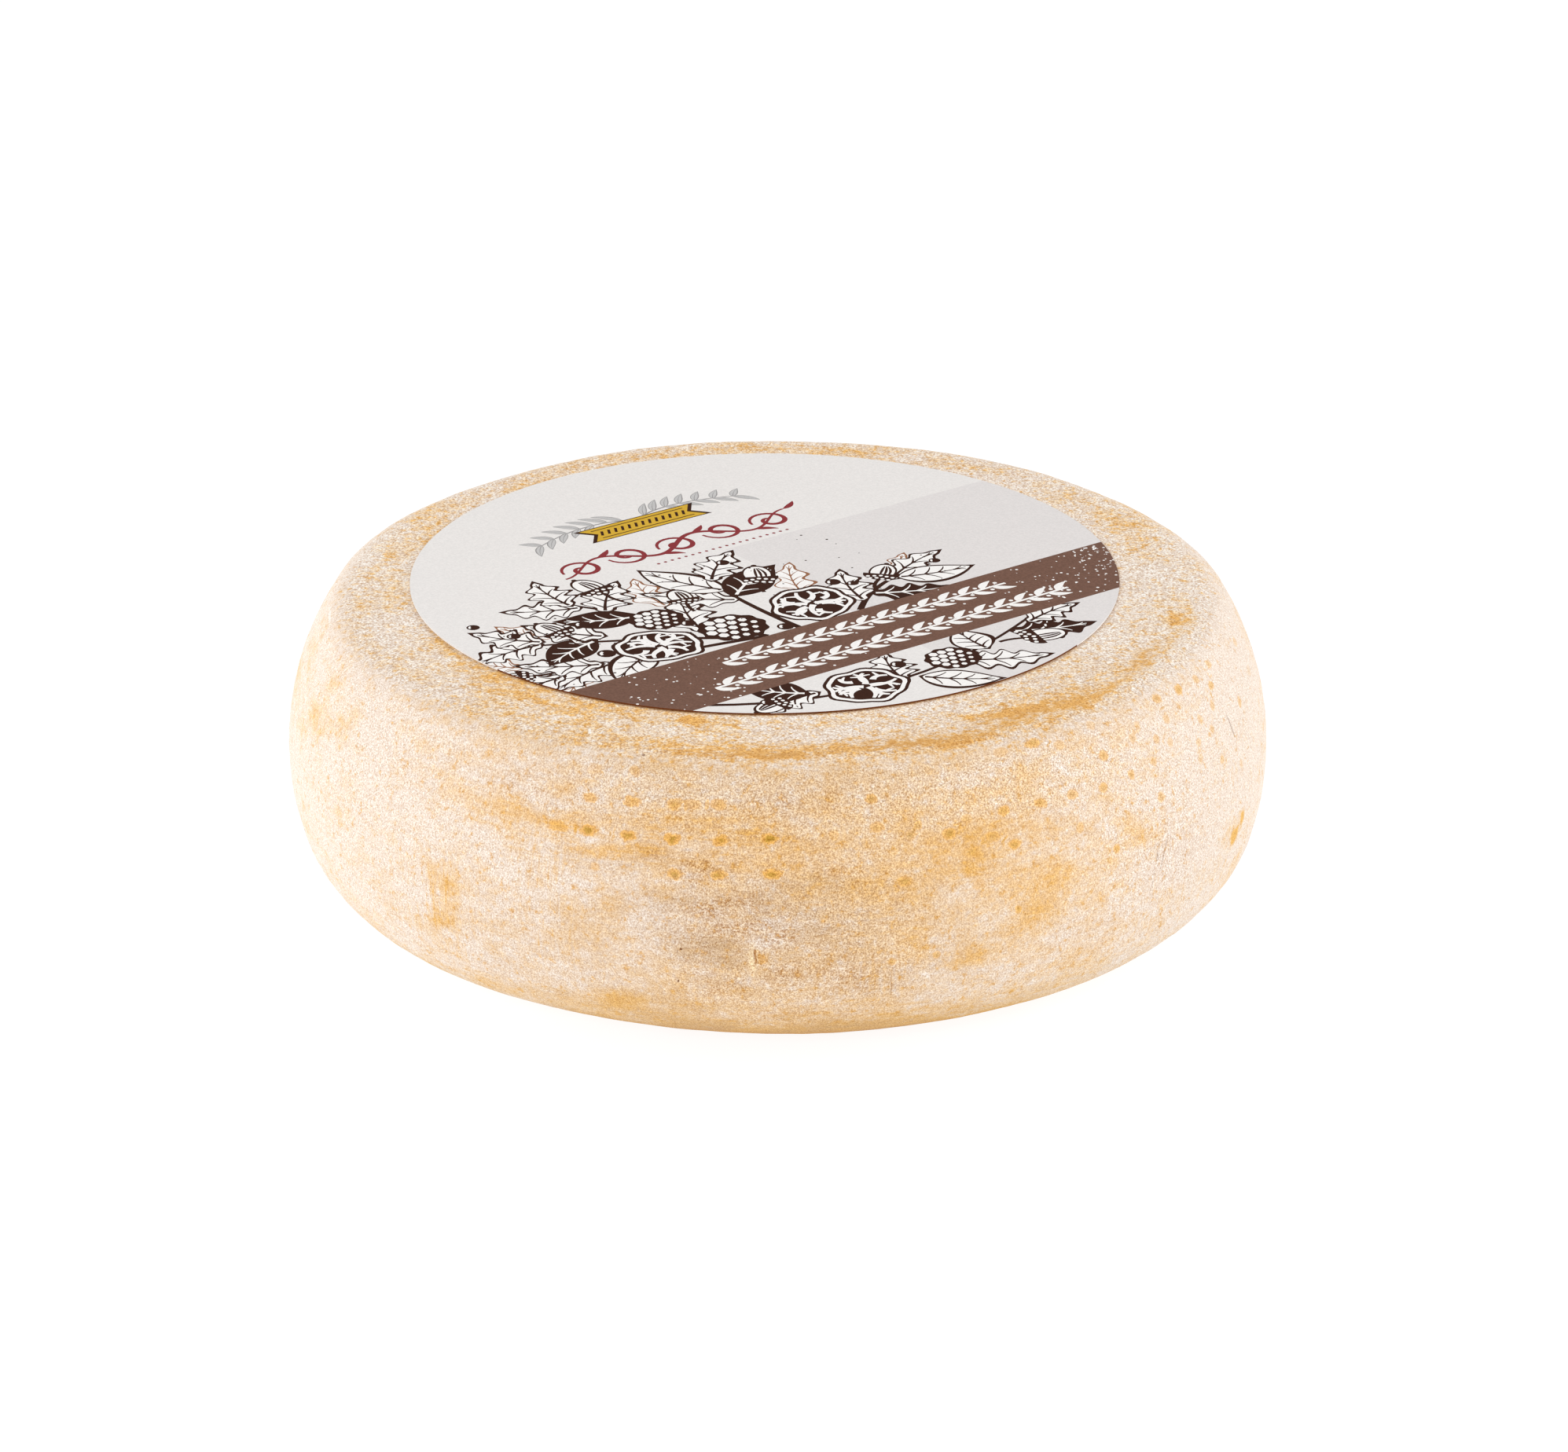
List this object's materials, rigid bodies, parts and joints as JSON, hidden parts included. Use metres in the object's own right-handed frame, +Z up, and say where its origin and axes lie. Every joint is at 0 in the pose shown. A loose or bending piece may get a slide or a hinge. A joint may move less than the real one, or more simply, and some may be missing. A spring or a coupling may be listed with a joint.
{
  "type": "truffle cheese",
  "caption": "Low round wheel of semi-hard cheese with a bulging side, a pale powdery rind and a round paper label flat on its upper face.",
  "frame": {"origin": "middle of the flat underside that the wheel rests on", "axes": "+Z up out of the labelled face, -Y towards the front that the picture shows, +X to the right of that front"},
  "size_m": [0.2079, 0.2082, 0.0614],
  "materials": {
    "rind": "matt, powdery, cream with ochre stains",
    "label": "smooth coated paper with a satin print"
  },
  "bodies": {
    "root": {"cheese_wheel": "rind", "paper_label": "label"}
  },
  "joints": []
}
